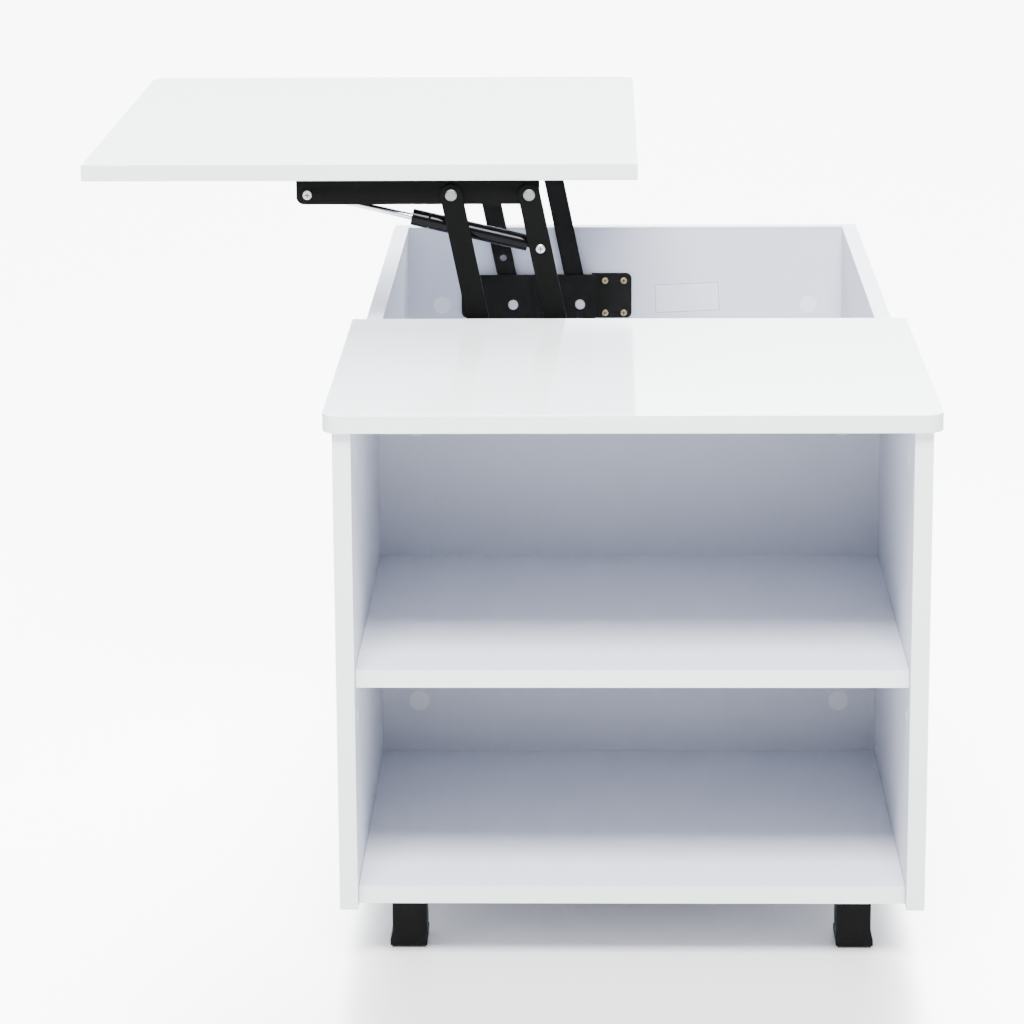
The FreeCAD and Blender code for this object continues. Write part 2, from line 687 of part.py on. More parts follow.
def top_hardware(wall):
    """Upper rivets, rod bolt and screws of one top bracket."""
    inward = INWARD[wall]
    for place_x, place_y in flange_screws(wall):
        bore("lift_top", "screw_radius", SCREW_BORE, (place_x, place_y, "lift_underside"), "+z")
        top_screws.append(short_screw((place_x, place_y, "lift_underside - plate"), "+z"))
    head_level = "rear_level - arm_gap * 2 - arm_plate"
    for pivot in (FRONT_PIVOT, REAR_PIVOT):
        at_x = "%s + lean" % pivot
        head_seat = (at_x, off_wall(wall, head_level), "upper_height")
        shank_reach = "arm_gap * 2 + arm_plate + plate + rivet_rise / 2"
        shank = cylinder("rivet_radius", shank_reach, head_seat, inward)
        tail_start = (at_x, off_wall(wall, "rear_level + plate"), "upper_height")
        tail = cylinder("rivet_head - 0.5", "rivet_rise", tail_start, inward)
        rivets_high.append(fused([shank, tail] + rivet_crown(head_seat, opposite(inward))))
    seat = ("%s + lean + rod_x" % REAR_PIVOT, off_wall(wall, "rear_level"), "upper_height")
    rod_bolts.append(screw("pan_head", "pan_rise", "bolt_radius", "plate", seat, inward))


# ------------------------------------------------------------------ arms and gas springs


def spring_direction():
    return math.atan2(-value["spring_z"], value["rod_x"] - value["spring_x"])


def tilted(angle):
    """Local X turned up from +X by the angle, local Y along the global Y."""
    return FreeCAD.Rotation(FreeCAD.Vector(0, 1, 0), -math.degrees(angle))


def outline_edge(edge):
    """True for an edge of a flat bar's faces that does not belong to a hole."""
    return len(edge.Vertexes) == 2 and abs(edge.BoundBox.ZLength) < 0.01


def arm(label, pivot, wall, hole_at):
    """Flat bar with round ends, a hole at each pivot and a third one near one end."""
    body = new_body(label + "_bar")
    sketch = new_sketch(body, "XY_Plane")
    half = value["arm_width"] / 2
    reach = value["arm_length"]
    up = FreeCAD.Vector(0, 0, 1)
    quarter = math.pi / 2
    sketch.addGeometry(Part.LineSegment(FreeCAD.Vector(0, -half, 0), FreeCAD.Vector(reach, -half, 0)))
    tip = Part.Circle(FreeCAD.Vector(reach, 0, 0), up, half)
    sketch.addGeometry(Part.ArcOfCircle(tip, -quarter, quarter))
    sketch.addGeometry(Part.LineSegment(FreeCAD.Vector(reach, half, 0), FreeCAD.Vector(0, half, 0)))
    heel = Part.Circle(FreeCAD.Vector(0, 0, 0), up, half)
    sketch.addGeometry(Part.ArcOfCircle(heel, quarter, 3 * quarter))
    for first, second in ((0, 1), (1, 2), (2, 3), (3, 0)):
        sketch.addConstraint(Sketcher.Constraint("Tangent", first, 2, second, 1))
    sketch.addConstraint(Sketcher.Constraint("Horizontal", 0))
    sketch.addConstraint(Sketcher.Constraint("Coincident", 3, 3, -1, 1))
    fix_point(sketch, 1, 3, ("arm_length", "0"))
    number = sketch.addConstraint(Sketcher.Constraint("Radius", 1, half))
    sketch.setExpression("Constraints[%d]" % number, linked("arm_width / 2"))
    pivot_hole = "rivet_radius + running"
    for center_x, radius in (("0", pivot_hole), ("arm_length", pivot_hole), (hole_at, "rivet_radius")):
        radius_now = float(sizes.evalExpression(linked(radius)))
        center_now = float(sizes.evalExpression(linked(center_x)))
        ring = sketch.addGeometry(Part.Circle(FreeCAD.Vector(center_now, 0, 0), up, radius_now))
        fix_point(sketch, ring, 3, (center_x, "0"))
        number = sketch.addConstraint(Sketcher.Constraint("Radius", ring, radius_now))
        sketch.setExpression("Constraints[%d]" % number, linked(radius))
    bar = pad(body, sketch, "arm_plate")
    numbers = [n for n, edge in enumerate(bar.Shape.Edges, 1) if outline_edge(edge)]
    bevel = body.newObject("PartDesign::Chamfer", "Bevel")
    bevel.Base = (bar, ["Edge%d" % n for n in numbers])
    bind(bevel, Size="arm_edge")
    document.recompute()
    turn = tilted(math.radians(value["raised_angle"]))
    turn = turn.multiply(FreeCAD.Rotation(FreeCAD.Vector(1, 0, 0), 90))
    face = {"near": "rear_level - arm_gap", "far": "rear_level - arm_gap - arm_plate"}[wall]
    place(body, (pivot, off_wall(wall, face), "pivot_height"), turn)
    return node(label, body)


def spring_bolt_parts(wall):
    """Bolt, sleeve and nut that carry the gas spring's closed end on the rear arm."""
    inward = INWARD[wall]
    at_x = REAR_PIVOT + " + lean + spring_x"
    at_z = "upper_height + spring_z"
    arm_low = "rear_level - arm_gap - arm_plate"
    arm_high = "rear_level - arm_gap"
    eye_low = "spring_plane - eye_width / 2"
    eye_high = "spring_plane + eye_width / 2"
    seat = (at_x, off_wall(wall, arm_low), at_z)
    collar = cylinder("rivet_radius", "arm_plate", seat, inward)
    length = "%s + nut_reach - (%s)" % (eye_high, arm_low)
    bolt = screw("pan_head", "pan_rise", "bolt_radius", length, seat, inward)
    node(wall + "_spring_bolt", fused([bolt, collar]))
    start = (at_x, off_wall(wall, arm_high), at_z)
    sleeve_length = "%s - arm_gap - (%s)" % (eye_low, arm_high)
    sleeve = cylinder("sleeve_radius", sleeve_length, start, inward)
    hollow = cylinder("bolt_radius", sleeve_length, start, inward)
    node(wall + "_spring_sleeve", cut(sleeve, [hollow]))
    nut_start = (at_x, off_wall(wall, "%s + arm_gap" % eye_high), at_z)
    node(wall + "_spring_nut", hexagon_nut(nut_start, inward))


def hexagon_nut(start, direction):
    prism = document.addObject("Part::Prism", "Hexagon")
    prism.Polygon = 6
    bind(prism, Circumradius="nut_across", Height="nut_height")
    turn = FreeCAD.Rotation(FreeCAD.Vector(0, 0, 1), FreeCAD.Vector(*DIRECTIONS[direction]))
    place(prism, start, turn)
    return cut(prism, [cylinder("bolt_radius", "nut_height", start, direction)])


def on_spring(item, wall):
    """Moves an item from the spring's own frame to its place beside the rear arm."""
    at_x = REAR_PIVOT + " + lean + spring_x"
    at_z = "upper_height + spring_z"
    point = (at_x, off_wall(wall, "spring_plane"), at_z)
    return place(item, point, tilted(spring_direction()))


def turned(label, wall, profile):
    """A round piece on the gas spring's axis; the profile is pairs of place and radius."""
    body = new_body(label + "_turned")
    sketch = polygon(body, "XZ_Plane", profile)
    feature = body.newObject("PartDesign::Revolution", "Revolution")
    feature.Profile = sketch
    feature.ReferenceAxis = (sketch, ["H_Axis"])
    feature.Angle = 360
    sketch.Visibility = False
    document.recompute()
    return node(label, on_spring(body, wall))


def gas_tube(wall):
    """Steel tube with a rolled groove, its end plug with an eye, and the rod guide."""
    groove = "tube_finish - groove_inset"
    turned(wall + "_gas_tube", wall, [
        ("tube_start", "tube_bore"),
        ("tube_start", "tube_radius - tube_bevel"),
        ("tube_start + tube_bevel", "tube_radius"),
        (groove + " - groove_half", "tube_radius"),
        (groove, "tube_radius - groove_depth"),
        (groove + " + groove_half", "tube_radius"),
        ("tube_finish - tube_bevel", "tube_radius"),
        ("tube_finish", "tube_radius - tube_bevel"),
        ("tube_finish", "tube_bore"),
    ])
    turned(wall + "_rod_guide", wall, [
        ("tube_finish - guide_length", "rod_radius + running"),
        ("tube_finish - guide_length", "tube_bore"),
        ("tube_finish - guide_inset", "tube_bore"),
        ("tube_finish - guide_inset", "rod_radius + running"),
    ])
    flat = ("0", "-eye_width / 2", "0")
    ring = cylinder("eye_radius", "eye_width", flat, "+y")
    reach = "tube_start - neck_start + plug_length / 2"
    neck = cylinder("neck_radius", reach, ("neck_start", "0", "0"), "+x")
    plug = cylinder("tube_bore", "plug_length", ("tube_start", "0", "0"), "+x")
    hole = cylinder("bolt_radius + running", "eye_width", flat, "+y")
    node(wall + "_tube_end", on_spring(cut(fused([ring, neck, plug]), [hole]), wall))


def gas_rod(wall):
    """Rod with its piston, its eye, and the stud that meets the top bracket."""
    inward = INWARD[wall]
    rod_start = "tube_finish - guide_length - piston_stop - piston_length"
    rod_end = "spring_length - neck_length + socket_depth"
    turned(wall + "_gas_rod", wall, [
        (rod_start, "0"),
        (rod_start, "rod_radius"),
        (rod_end, "rod_radius"),
        (rod_end, "0"),
    ])
    turned(wall + "_piston", wall, [
        (rod_start, "rod_radius"),
        (rod_start, "tube_bore - running"),
        (rod_start + " + piston_length", "tube_bore - running"),
        (rod_start + " + piston_length", "rod_radius"),
    ])
    flat = ("spring_length", "-eye_width / 2", "0")
    ring = cylinder("eye_radius", "eye_width", flat, "+y")
    neck_end = ("spring_length - neck_length", "0", "0")
    neck = cylinder("neck_radius", "neck_length - neck_start", neck_end, "+x")
    hole = cylinder("bolt_radius", "eye_width", flat, "+y")
    socket = cylinder("rod_radius", "socket_depth", neck_end, "+x")
    node(wall + "_rod_end", on_spring(cut(fused([ring, neck]), [hole, socket]), wall))
    gap = "spring_plane - rear_level - plate - arm_gap"
    start = moved(("spring_length", "0", "0"), opposite(inward), gap)
    shank_length = "%s + eye_width / 2 + nut_height + bolt_tip" % gap
    shank = cylinder("bolt_radius", shank_length, start, inward)
    sleeve = cylinder("sleeve_radius", "%s - eye_width / 2" % gap, start, inward)
    nut = hexagon_nut(moved(("spring_length", "0", "0"), inward, "eye_width / 2"), inward)
    node(wall + "_rod_stud", on_spring(fused([shank, sleeve, nut]), wall))


# ------------------------------------------------------------------ build: mechanism

for wall in WALL_FACE:
    base_bracket(wall)
    base_hardware(wall)
    top_bracket(wall)
    top_hardware(wall)
    arm(wall + "_front_arm", FRONT_PIVOT, wall, "spring_offset")
    arm(wall + "_rear_arm", REAR_PIVOT, wall, "arm_length - spring_offset")
    spring_bolt_parts(wall)
    gas_tube(wall)
    gas_rod(wall)

group("base_bracket_screws", base_screws)
group("lower_pivot_rivets", rivets_low)
group("top_bracket_screws", top_screws)
group("upper_pivot_rivets", rivets_high)
group("pivot_spacers", pivot_spacers)
group("rod_bolts", rod_bolts)

# ------------------------------------------------------------------ build: legs

pads = []


def leg(end, side):
    """Plastic leg: a column with a flared foot, held by two screws from below."""
    body = new_body("%s_%s_block" % (end, side))
    factor = {"left": "-1 * ", "right": ""}[side]
    inner = factor + "(-leg_width / 2)"
    outer = factor + "(leg_width / 2)"
    lip = factor + "(foot_width - leg_width / 2)"
    column = [
        (inner, "leg_height"),
        (inner, "pad_height"),
        (lip, "pad_height"),
        (lip, "pad_height + foot_height"),
        (outer, "pad_height + foot_height + flare_height"),
        (outer, "leg_height"),
    ]
    first = pad(body, polygon(body, "XZ_Plane", column), "leg_depth")
    first.Reversed = end == "near"
    foot = [
        (inner, "pad_height + foot_height"),
        (inner, "pad_height"),
        (lip, "pad_height"),
        (lip, "pad_height + foot_height"),
    ]
    second = pad(body, polygon(body, "XZ_Plane", foot), "foot_depth")
    second.Reversed = end == "near"
    document.recompute()

    def column_corner(edge):
        return runs_along(edge, 2) and edge.Length > value["foot_height"] + value["flare_height"]

    body_fillet(body, second, "leg_round", column_corner)
    at_x = "center %s (cabinet_width / 2 - leg_inset - leg_width / 2)" % SIDE_SIGN[side]
    at_y = {"near": NEAR + " + leg_end_inset", "far": FAR + " - leg_end_inset"}[end]
    place(body, (at_x, at_y, "0"))
    wells = []
    for distance in ("leg_depth * 0.28", "leg_depth * 0.72"):
        point = moved((at_x, at_y, "pad_height"), INWARD[end], distance)
        seat = moved(point, "+z", "leg_height - pad_height - well_roof")
        wells.append(cylinder("well_radius", "leg_height - pad_height - well_roof", point, "+z"))
        wells.append(cylinder("screw_radius", "leg_height", point, "+z"))
        length = "well_roof + leg_screw_grip"
        leg_screws.append(screw("screw_head", "screw_rise", "screw_radius", length, seat, "+z"))
        mouth = (point[0], point[1], "leg_height")
        bore("bottom_panel", "screw_radius", "leg_screw_grip + end_play", mouth, "+z")
    node("%s_%s_leg" % (end, side), cut(body, wells))
    low = {"near": at_y + " + pad_inset", "far": at_y + " - foot_depth + pad_inset"}[end]
    left = {"right": "%s - leg_width / 2 + pad_inset", "left": "%s + leg_width / 2 - foot_width + pad_inset"}
    corner = (left[side] % at_x, low, "0")
    pads.append(box(corner, "foot_width - 2 * pad_inset", "foot_depth - 2 * pad_inset", "pad_height"))


for end in ("near", "far"):
    for side in OUTWARD:
        leg(end, side)
group("leg_screws", leg_screws)
group("foot_pads", pads)

# ------------------------------------------------------------------ build: boards

plugs = []
for side, outward in OUTWARD.items():
    spot = (inner_face(side), NEAR + " + plug_place", "plug_height")
    bore(side + "_side_panel", "plug_radius + fit_gap", "board / 2 + end_play", spot, outward)
    peg = cylinder("plug_radius", "board / 2", spot, outward)
    cap = cylinder("plug_head", "plug_rise", spot, opposite(outward))
    plugs.append(fused([peg, cap]))
group("hole_plugs", plugs)


def board_node(label, blank):
    """Finishes a board by cutting the bores of its fittings."""
    tools = bores.get(label)
    return node(label, cut(blank, tools) if tools else fused([blank]))


side_height = CABINET_TOP + " - leg_height + side_drop"
side_length = "table_length - end_overhang * 2 - edge_strip"
SIDE_LEFT = {"left": "center - cabinet_width / 2", "right": inner_face("right")}
for side, left in SIDE_LEFT.items():
    corner = (left, NEAR_EDGE + " + edge_strip", "leg_height - side_drop")
    board_node(side + "_side_panel", box(corner, "board", side_length, side_height))

inner_left = inner_face("left")
inner_width = "cabinet_width - board * 2"
upright = CABINET_TOP + " - leg_height - board"
floor_face = "leg_height + board"
board_node("partition_panel", box((inner_left, PARTITION, floor_face), inner_width, "board", upright))
board_node("end_panel", box((inner_left, END_WALL, floor_face), inner_width, "board", upright))
level_left = inner_left + " + side_gap"
level_width = inner_width + " - side_gap * 2"
level_front = SHELF_FRONT + " + edge_strip"
shelf_depth = "partition_place - end_overhang - shelf_setback - edge_strip"
bottom_depth = "table_length - end_overhang * 2 - shelf_setback - edge_strip"
shelf_corner = (level_left, level_front, "shelf_height - board")
board_node("middle_shelf", box(shelf_corner, level_width, shelf_depth, "board"))
bottom_corner = (level_left, level_front, "leg_height")
board_node("bottom_panel", box(bottom_corner, level_width, bottom_depth, "board"))

strips = []
for left in SIDE_LEFT.values():
    corner = (left, NEAR_EDGE, "leg_height - side_drop")
    strips.append(box(corner, "board", "edge_strip", side_height))
for low in ("shelf_height - board", "leg_height"):
    strips.append(box((level_left, SHELF_FRONT, low), level_width, "edge_strip", "board"))
group("cabinet_edging", strips)


def top_blank(shift, start, depth, underside, inset, radius, rounded_end):
    """A top's outline, inset from its edge, with two rounded corners at one end."""
    corner = ("center - table_width / 2 - (%s) + %s" % (shift, inset), "%s + %s" % (start, inset), underside)
    width = "table_width - 2 * (%s)" % inset
    blank = box(corner, width, "%s - 2 * (%s)" % (depth, inset), "board")
    document.recompute()
    bounds = blank.Shape.BoundBox
    end_y = bounds.YMin if rounded_end == "near" else bounds.YMax

    def end_corner(edge):
        return runs_along(edge, 2) and abs(edge.Vertexes[0].Y - end_y) < 0.01

    return rounded(blank, radius, end_corner)


def outer_rim(shape):
    """Test that picks the upper and lower outer edges of an edging ring."""
    bounds = shape.BoundBox

    def chosen(edge):
        level = abs(edge.BoundBox.ZLength) < 0.01
        inside = edge.BoundBox
        touches = (
            abs(inside.XMin - bounds.XMin) < 0.01 or abs(inside.XMax - bounds.XMax) < 0.01
            or abs(inside.YMin - bounds.YMin) < 0.01 or abs(inside.YMax - bounds.YMax) < 0.01
        )
        return level and touches

    return chosen


def top_and_edging(label, shift, start, depth, underside, rounded_end):
    """A top board, and the edging that runs round it."""
    arguments = (shift, start, depth, underside)
    board_blank = top_blank(*arguments, "edging", "inner_radius", rounded_end)
    board_node(label, board_blank)
    outer = top_blank(*arguments, "0", "corner_radius", rounded_end)
    inner = top_blank(*arguments, "edging", "inner_radius", rounded_end)
    ring = cut(outer, [inner])
    document.recompute()
    node(label + "_edging", rounded(ring, "edge_round", outer_rim(ring.Shape)))


fill_sheet([("inner_radius", value["corner_radius"] - value["edging"], "corner inside the edging")])
top_and_edging("fixed_top", "0", NEAR, "fixed_depth", CABINET_TOP, "near")
lift_start = NEAR + " + fixed_depth + top_gap"
lift_depth = "table_length - fixed_depth - top_gap"
top_and_edging("lift_top", "lift_shift", lift_start, lift_depth, "lift_underside", "far")

# ------------------------------------------------------------------ build: small pieces

group("cam_locks", cam_locks)
group("cam_bolts", cam_bolts)
group("cam_covers", cam_covers)
group("wooden_dowels", dowels)
sticker = document.addObject("Part::Box", "Sticker")
bind(sticker, Length="label_width", Width="label_sheet", Height="label_height")
place(sticker, ("center + label_place", END_WALL + " - label_sheet", "label_low"),
      tilted(math.radians(value["label_tilt"])))
node("blank_label", sticker)

# ------------------------------------------------------------------ checks and export

document.recompute()
faults = []
for item in document.Objects:
    if "Invalid" in item.State or "Error" in item.State:
        faults.append("%s is %s" % (item.Label, item.State))
for item in nodes:
    shape = item.Shape
    if shape.isNull() or not shape.isValid() or not shape.Solids or shape.Volume <= 0:
        faults.append("%s has no valid solid" % item.Label)
if faults:
    raise RuntimeError("; ".join(faults))

os.makedirs("parts", exist_ok=True)
for item in nodes:
    item.Shape.exportStep("parts/%s.step" % item.Label)
    print("%-24s %3d solids %12.1f mm3" % (item.Label, len(item.Shape.Solids), item.Shape.Volume))
print(len(nodes), "nodes")
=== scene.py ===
import math

import bmesh
import bpy
from mathutils import Matrix, Vector


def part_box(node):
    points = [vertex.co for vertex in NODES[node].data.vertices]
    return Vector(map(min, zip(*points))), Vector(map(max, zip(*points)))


# Looks for the lift top coffee table.  Metres, +Z up; the open shelf end faces -Y.

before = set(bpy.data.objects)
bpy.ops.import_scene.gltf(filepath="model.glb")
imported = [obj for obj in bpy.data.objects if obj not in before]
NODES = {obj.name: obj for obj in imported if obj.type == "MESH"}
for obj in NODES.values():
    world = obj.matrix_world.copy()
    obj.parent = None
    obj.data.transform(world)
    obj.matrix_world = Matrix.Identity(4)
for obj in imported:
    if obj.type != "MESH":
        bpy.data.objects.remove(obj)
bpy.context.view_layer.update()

SCENE = bpy.context.scene

top_low, top_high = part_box("fixed_top_edging")
CENTER_X = (top_low.x + top_high.x) / 2
NEAR_END = top_low.y
NEAR_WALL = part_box("partition_panel")[1].y
FAR_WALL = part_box("end_panel")[0].y
WALL_MIDDLE = (NEAR_WALL + FAR_WALL) / 2
WALL_REACH = (FAR_WALL - NEAR_WALL) / 2      # from the compartment's middle to either wall


# ------------------------------------------------------------------ camera

CAMERA_SIDE = -0.0244        # camera from the cabinet's centre line, along X
CAMERA_BACK = 3.0087         # camera in front of the near end
CAMERA_HEIGHT = 1.1383
CAMERA_YAW = -0.024103       # radians, positive toward +X
CAMERA_DIP = 0.243526        # radians below the horizon
CAMERA_ROLL = -0.006498
SENSOR = 36.0
LENS = 135.25
CLIP_END = 200


def make_camera():
    data = bpy.data.cameras.new("camera")
    data.sensor_width = SENSOR
    data.lens = LENS
    data.clip_end = CLIP_END
    camera = bpy.data.objects.new("camera", data)
    SCENE.collection.objects.link(camera)
    forward = Vector((
        math.sin(CAMERA_YAW) * math.cos(CAMERA_DIP),
        math.cos(CAMERA_YAW) * math.cos(CAMERA_DIP),
        -math.sin(CAMERA_DIP),
    ))
    level = Vector((math.cos(CAMERA_YAW), -math.sin(CAMERA_YAW), 0))
    upright = level.cross(forward)
    right = level * math.cos(CAMERA_ROLL) + upright * math.sin(CAMERA_ROLL)
    up = upright * math.cos(CAMERA_ROLL) - level * math.sin(CAMERA_ROLL)
    place = Vector((CENTER_X + CAMERA_SIDE, NEAR_END - CAMERA_BACK, CAMERA_HEIGHT))
    turn = Matrix((right, up, -forward)).transposed().to_4x4()
    camera.matrix_world = Matrix.Translation(place) @ turn
    SCENE.camera = camera


make_camera()


# ------------------------------------------------------------------ node material helpers

FACING_COSINE = 0.7          # a face within about 45 degrees of a direction faces it
RECESS_BAND = 0.0002         # tolerance on the depth of a screw's recess floor


class Shader:
    """A small builder for node materials on object coordinates, in metres."""

    def __init__(self, name):
        self.material = bpy.data.materials.new(name)
        self.material.use_nodes = True
        self.tree = self.material.node_tree
        self.tree.nodes.clear()
        self.output = self.tree.nodes.new("ShaderNodeOutputMaterial")
        self.surface = self.tree.nodes.new("ShaderNodeBsdfPrincipled")
        self.link(self.surface.outputs[0], self.output.inputs["Surface"])
        self.place = self.tree.nodes.new("ShaderNodeTexCoord").outputs["Object"]

    def link(self, source, target):
        self.tree.links.new(source, target)

    def set(self, **values):
        """Sets uniform values on the Principled shader's own sockets."""
        for name, value in values.items():
            self.surface.inputs[name.replace("_", " ")].default_value = value
        return self

    def feed(self, socket, source):
        self.link(source, self.surface.inputs[socket])
        return self

    def stretched(self, scale):
        node = self.tree.nodes.new("ShaderNodeMapping")
        node.inputs["Scale"].default_value = scale
        self.link(self.place, node.inputs["Vector"])
        return node.outputs[0]

    def noise(self, scale, detail=2.0, rough=0.5, vector=None):
        node = self.tree.nodes.new("ShaderNodeTexNoise")
        node.inputs["Scale"].default_value = scale
        node.inputs["Detail"].default_value = detail
        node.inputs["Roughness"].default_value = rough
        self.link(vector or self.place, node.inputs["Vector"])
        return node.outputs["Fac"]

    def cells(self, scale, vector=None):
        node = self.tree.nodes.new("ShaderNodeTexVoronoi")
        node.inputs["Scale"].default_value = scale
        self.link(vector or self.place, node.inputs["Vector"])
        return node.outputs["Distance"]

    def span(self, source, low, high, start=0.3, end=0.7):
        """Maps a factor that runs from start to end onto low to high."""
        node = self.tree.nodes.new("ShaderNodeMapRange")
        for name, value in (("From Min", start), ("From Max", end), ("To Min", low), ("To Max", high)):
            node.inputs[name].default_value = value
        self.link(source, node.inputs["Value"])
        return node.outputs[0]

    def math(self, kind, first, second):
        node = self.tree.nodes.new("ShaderNodeMath")
        node.operation = kind
        for number, value in enumerate((first, second)):
            if isinstance(value, (int, float)):
                node.inputs[number].default_value = value
            else:
                self.link(value, node.inputs[number])
        return node.outputs[0]

    def blend_colors(self, factor, first, second):
        node = self.tree.nodes.new("ShaderNodeMix")
        node.data_type = "RGBA"
        self.link(factor, node.inputs["Factor"])
        for name, value in (("A", first), ("B", second)):
            socket = [s for s in node.inputs if s.name == name and s.type == "RGBA"][0]
            if isinstance(value, tuple):
                socket.default_value = (*value, 1.0)
            else:
                self.link(value, socket)
        return [s for s in node.outputs if s.type == "RGBA"][0]

    def blend_values(self, factor, first, second):
        node = self.tree.nodes.new("ShaderNodeMix")
        node.data_type = "FLOAT"
        self.link(factor, node.inputs["Factor"])
        for name, value in (("A", first), ("B", second)):
            socket = [s for s in node.inputs if s.name == name and s.type == "VALUE"][0]
            if isinstance(value, (int, float)):
                socket.default_value = value
            else:
                self.link(value, socket)
        return [s for s in node.outputs if s.type == "VALUE"][0]

    def bump(self, height, depth, strength=1.0):
        node = self.tree.nodes.new("ShaderNodeBump")
        node.inputs["Strength"].default_value = strength
        node.inputs["Distance"].default_value = depth
        self.link(height, node.inputs["Height"])
        self.link(node.outputs[0], self.surface.inputs["Normal"])
        return self

    def facing(self, direction):
        """1 where the surface faces the direction, in the piece's own axes, and 0 elsewhere."""
        normal = self.tree.nodes.new("ShaderNodeTexCoord").outputs["Normal"]
        node = self.tree.nodes.new("ShaderNodeVectorMath")
        node.operation = "DOT_PRODUCT"
        node.inputs[1].default_value = direction
        self.link(normal, node.inputs[0])
        return self.math("GREATER_THAN", node.outputs["Value"], FACING_COSINE)

    def depth_band(self, distance):
        """1 on flat faces across Y at a distance from the compartment's middle, on either side: the
        mask where shade is painted on the screws' recess floors.
        """
        split = self.tree.nodes.new("ShaderNodeSeparateXYZ")
        self.link(self.place, split.inputs[0])
        offset = self.math("ABSOLUTE", self.math("SUBTRACT", split.outputs[1], WALL_MIDDLE), 0)
        miss = self.math("ABSOLUTE", self.math("SUBTRACT", offset, distance), 0)
        near = self.math("LESS_THAN", miss, RECESS_BAND)
        across = self.math("ADD", self.facing((0, 1, 0)), self.facing((0, -1, 0)))
        return self.math("MULTIPLY", near, across)


# ------------------------------------------------------------------ materials of the boards

GLOSS_LIGHT = (0.80, 0.85, 0.86)
GLOSS_SHADE = (0.775, 0.825, 0.84)
MATT_LIGHT = (0.69, 0.71, 0.785)
MATT_SHADE = (0.66, 0.68, 0.755)
EDGE_LIGHT = (0.83, 0.87, 0.86)
EDGE_SHADE = (0.81, 0.85, 0.845)
COVER_LIGHT = (0.85, 0.85, 0.88)
COVER_SHADE = (0.82, 0.82, 0.86)
GLOSS_SPECULAR = 0.09
GRAIN_DEPTH = 0.00012


def board_shader(name, glossy_side):
    """Melamine board: fine matt grain, with a high-gloss film on the side given, if any."""
    shader = Shader(name)
    cloud = shader.noise(3.1, 3)
    grain = shader.noise(820, 3, 0.6)
    pores = shader.cells(610)
    matt_color = shader.blend_colors(cloud, MATT_LIGHT, MATT_SHADE)
    matt_rough = shader.span(grain, 0.42, 0.56)
    relief = shader.math("MULTIPLY", shader.math("ADD", grain, pores), 0.5)
    if glossy_side:
        mask = shader.facing(glossy_side)
        gloss_color = shader.blend_colors(cloud, GLOSS_LIGHT, GLOSS_SHADE)
        ripple = shader.noise(95, 2)
        gloss_rough = shader.span(shader.noise(14, 4), 0.045, 0.09)
        shader.set(Specular_IOR_Level=GLOSS_SPECULAR)
        shader.feed("Base Color", shader.blend_colors(mask, matt_color, gloss_color))
        shader.feed("Roughness", shader.blend_values(mask, matt_rough, gloss_rough))
        faint = shader.math("MULTIPLY", ripple, 0.12)
        shader.bump(shader.blend_values(mask, relief, faint), GRAIN_DEPTH)
    else:
        shader.feed("Base Color", matt_color)
        shader.feed("Roughness", matt_rough)
        shader.bump(relief, GRAIN_DEPTH)
    return shader.material


def edge_shader():
    """Glossy plastic edge band with the faint ripple that the edge bander leaves."""
    shader = Shader("edge_band")
    cloud = shader.noise(5, 3)
    ripple = shader.noise(60, 2)
    shader.feed("Base Color", shader.blend_colors(cloud, EDGE_LIGHT, EDGE_SHADE))
    shader.feed("Roughness", shader.span(shader.noise(30, 3), 0.12, 0.2))
    shader.bump(ripple, 0.00004)
    return shader.material


def cover_shader():
    """Thin white self-adhesive disc, a little smoother than the board."""
    shader = Shader("cover_film")
    cloud = shader.noise(40, 2)
    shader.feed("Base Color", shader.blend_colors(cloud, COVER_LIGHT, COVER_SHADE))
    shader.feed("Roughness", shader.span(shader.noise(300, 2), 0.3, 0.42))
    shader.bump(shader.noise(700, 2), 0.00003)
    return shader.material


# ------------------------------------------------------------------ materials of the metalwork

POWDER_VARIATION = 1.7       # the lighter patches of the powder coat against its own color
PLATING_SHADE = 0.8          # the darker patches of plating against its own color
RECESS_PAINTED_SHADE = 0.12           # painted shade on the floor of a screw's recess, against the plating
LEG_DARK = (0.0018, 0.0018, 0.0018)
LEG_LIGHT = (0.004, 0.004, 0.004)
LEG_SPECULAR = 0.08
RUBBER_DARK = (0.018, 0.018, 0.018)
RUBBER_LIGHT = (0.03, 0.03, 0.03)
WOOD_LIGHT = (0.62, 0.44, 0.26)
WOOD_DARK = (0.42, 0.27, 0.14)


def powder_shader(name, color, rough, grain_depth, shine=0.05):
    """Black powder coat: satin, with a fine orange-peel skin and dusty variation."""
    shader = Shader(name)
    cloud = shader.noise(22, 4, 0.6)
    peel = shader.noise(620, 2, 0.55)
    lifted = tuple(channel * POWDER_VARIATION for channel in color)
    shader.set(Specular_IOR_Level=shine)
    shader.feed("Base Color", shader.blend_colors(cloud, color, lifted))
    shader.feed("Roughness", shader.span(shader.noise(70, 3), rough - 0.06, rough + 0.08))
    shader.bump(peel, grain_depth)
    return shader.material


